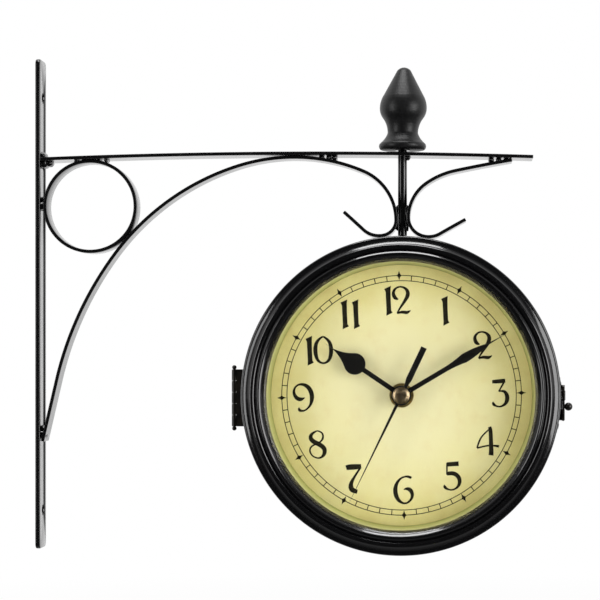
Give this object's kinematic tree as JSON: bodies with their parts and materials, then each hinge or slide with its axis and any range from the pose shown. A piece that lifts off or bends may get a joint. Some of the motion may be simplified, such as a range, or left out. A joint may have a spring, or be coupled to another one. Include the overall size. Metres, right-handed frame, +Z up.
{
  "type": "double sided station clock",
  "caption": "Round two-faced clock that turns on a rod under a scrolled wall bracket, with a hinged case, a hasp and a quartz movement behind each dial.",
  "frame": {"origin": "middle of the wall plate's back face", "axes": "+X along the arm away from the wall, -Y towards the front dial's viewer, +Z up"},
  "size_m": [0.2821, 0.0744, 0.259],
  "materials": {
    "bracket_steel": "gloss black enamel",
    "weld": "painted weld",
    "turned_wood": "matt black paint on turned wood",
    "steel": "plated steel",
    "hinge_steel": "dark enamel on pressed steel",
    "case_enamel": "gloss black enamel on pressed steel",
    "glass": "clear",
    "spacer": "pale yellow green card",
    "dial": "aged paper on a steel plate",
    "black_plastic": "moulded",
    "white_plastic": "moulded",
    "brass": "turned",
    "circuit_board": "resin board",
    "copper": "enamelled wire on a stator",
    "battery": "printed steel can",
    "hand_black": "satin black on aluminium"
  },
  "bodies": {
    "bracket": {"wall_plate": "bracket_steel", "arm_bar": "bracket_steel", "ring": "bracket_steel", "long_scroll": "bracket_steel", "short_scroll": "bracket_steel", "pivot_tube": "bracket_steel", "weld_beads": "weld"},
    "case": {"finial": "turned_wood", "hanger_rod": "steel", "rod_fasteners": "steel", "rear_shell": "case_enamel", "rear_glass": "glass", "rear_spacer_ring": "spacer", "rear_dial": "dial", "rear_hinge_leaf": "hinge_steel", "pivot_pins": "steel", "hasp_plate": "hinge_steel", "rear_rivets": "steel", "rear_movement_housing": "black_plastic", "rear_movement_cover": "black_plastic", "rear_dial_nut": "brass", "rear_circuit_board": "circuit_board", "rear_motor_coil": "copper", "rear_battery": "battery", "rear_battery_contacts": "steel"},
    "door": {"front_shell": "case_enamel", "front_glass": "glass", "front_spacer_ring": "spacer", "front_dial": "dial", "front_hinge_leaf": "hinge_steel", "staple_plate": "hinge_steel", "front_rivets": "steel", "front_movement_housing": "black_plastic", "front_movement_cover": "black_plastic", "front_dial_nut": "brass", "front_circuit_board": "circuit_board", "front_motor_coil": "copper", "front_battery": "battery", "front_battery_contacts": "steel"},
    "hasp": {"hasp_flap": "hinge_steel"},
    "front_minute": {"front_minute_wheel": "white_plastic", "front_minute_hand": "hand_black"},
    "front_hour": {"front_hour_wheel": "white_plastic", "front_hour_hand": "hand_black"},
    "front_motion": {"front_motion_wheel": "white_plastic"},
    "front_knob": {"front_setting_knob": "white_plastic"},
    "front_seconds": {"front_seconds_wheel": "white_plastic", "front_second_hand": "hand_black"},
    "front_step": {"front_step_wheel": "white_plastic"},
    "front_rotor": {"front_rotor": "white_plastic"},
    "rear_minute": {"rear_minute_wheel": "white_plastic", "rear_minute_hand": "hand_black"},
    "rear_hour": {"rear_hour_wheel": "white_plastic", "rear_hour_hand": "hand_black"},
    "rear_motion": {"rear_motion_wheel": "white_plastic"},
    "rear_knob": {"rear_setting_knob": "white_plastic"},
    "rear_seconds": {"rear_seconds_wheel": "white_plastic", "rear_second_hand": "hand_black"},
    "rear_step": {"rear_step_wheel": "white_plastic"},
    "rear_rotor": {"rear_rotor": "white_plastic"}
  },
  "joints": [
    {"name": "case_swivel", "type": "hinge", "parent": "bracket", "child": "case", "pos_m": [0.193, 0, 0.08], "axis": [0, 0, 1], "continuous": true},
    {"name": "door_hinge", "type": "hinge", "parent": "case", "child": "door", "pos_m": [0.1047, -0.007, -0.0495], "axis": [0, 0, -1], "range_deg": [0, 105]},
    {"name": "hasp_hinge", "type": "hinge", "parent": "case", "child": "hasp", "pos_m": [0.27745, -0.004, -0.0521], "axis": [0, 0, 1], "range_deg": [0, 150]},
    {"name": "front_minute_spin", "type": "hinge", "parent": "door", "child": "front_minute", "pos_m": [0.193, -0.0237, -0.048], "axis": [0, 1, 0], "continuous": true},
    {"name": "front_hour_spin", "type": "hinge", "parent": "door", "child": "front_hour", "pos_m": [0.193, -0.0217, -0.048], "axis": [0, 1, 0], "continuous": true},
    {"name": "front_motion_spin", "type": "hinge", "parent": "door", "child": "front_motion", "pos_m": [0.199, -0.0114, -0.048], "axis": [0, 1, 0], "continuous": true},
    {"name": "front_knob_spin", "type": "hinge", "parent": "door", "child": "front_knob", "pos_m": [0.202, -0.002, -0.0428], "axis": [0, 1, 0], "continuous": true},
    {"name": "front_seconds_spin", "type": "hinge", "parent": "door", "child": "front_seconds", "pos_m": [0.193, -0.0255, -0.048], "axis": [0, 1, 0], "continuous": true},
    {"name": "front_step_spin", "type": "hinge", "parent": "door", "child": "front_step", "pos_m": [0.18791, -0.0072, -0.04291], "axis": [0, 1, 0], "continuous": true},
    {"name": "front_rotor_spin", "type": "hinge", "parent": "door", "child": "front_rotor", "pos_m": [0.18395, -0.0052, -0.03895], "axis": [0, 1, 0], "continuous": true},
    {"name": "rear_minute_spin", "type": "hinge", "parent": "case", "child": "rear_minute", "pos_m": [0.193, 0.0237, -0.048], "axis": [0, -1, 0], "continuous": true},
    {"name": "rear_hour_spin", "type": "hinge", "parent": "case", "child": "rear_hour", "pos_m": [0.193, 0.0217, -0.048], "axis": [0, -1, 0], "continuous": true},
    {"name": "rear_motion_spin", "type": "hinge", "parent": "case", "child": "rear_motion", "pos_m": [0.187, 0.0114, -0.048], "axis": [0, -1, 0], "continuous": true},
    {"name": "rear_knob_spin", "type": "hinge", "parent": "case", "child": "rear_knob", "pos_m": [0.184, 0.002, -0.0428], "axis": [0, -1, 0], "continuous": true},
    {"name": "rear_seconds_spin", "type": "hinge", "parent": "case", "child": "rear_seconds", "pos_m": [0.193, 0.0255, -0.048], "axis": [0, -1, 0], "continuous": true},
    {"name": "rear_step_spin", "type": "hinge", "parent": "case", "child": "rear_step", "pos_m": [0.19809, 0.0072, -0.04291], "axis": [0, -1, 0], "continuous": true},
    {"name": "rear_rotor_spin", "type": "hinge", "parent": "case", "child": "rear_rotor", "pos_m": [0.20205, 0.0052, -0.03895], "axis": [0, -1, 0], "continuous": true}
  ],
  "couplings": [
    {"joint": "front_hour_spin", "follows": "front_minute_spin", "ratio": 0.083333},
    {"joint": "front_motion_spin", "follows": "front_minute_spin", "ratio": -0.33333},
    {"joint": "front_knob_spin", "follows": "front_minute_spin", "ratio": 1},
    {"joint": "front_step_spin", "follows": "front_seconds_spin", "ratio": -5},
    {"joint": "front_rotor_spin", "follows": "front_seconds_spin", "ratio": 30},
    {"joint": "rear_hour_spin", "follows": "rear_minute_spin", "ratio": 0.083333},
    {"joint": "rear_motion_spin", "follows": "rear_minute_spin", "ratio": -0.33333},
    {"joint": "rear_knob_spin", "follows": "rear_minute_spin", "ratio": 1},
    {"joint": "rear_step_spin", "follows": "rear_seconds_spin", "ratio": -5},
    {"joint": "rear_rotor_spin", "follows": "rear_seconds_spin", "ratio": 30}
  ]
}
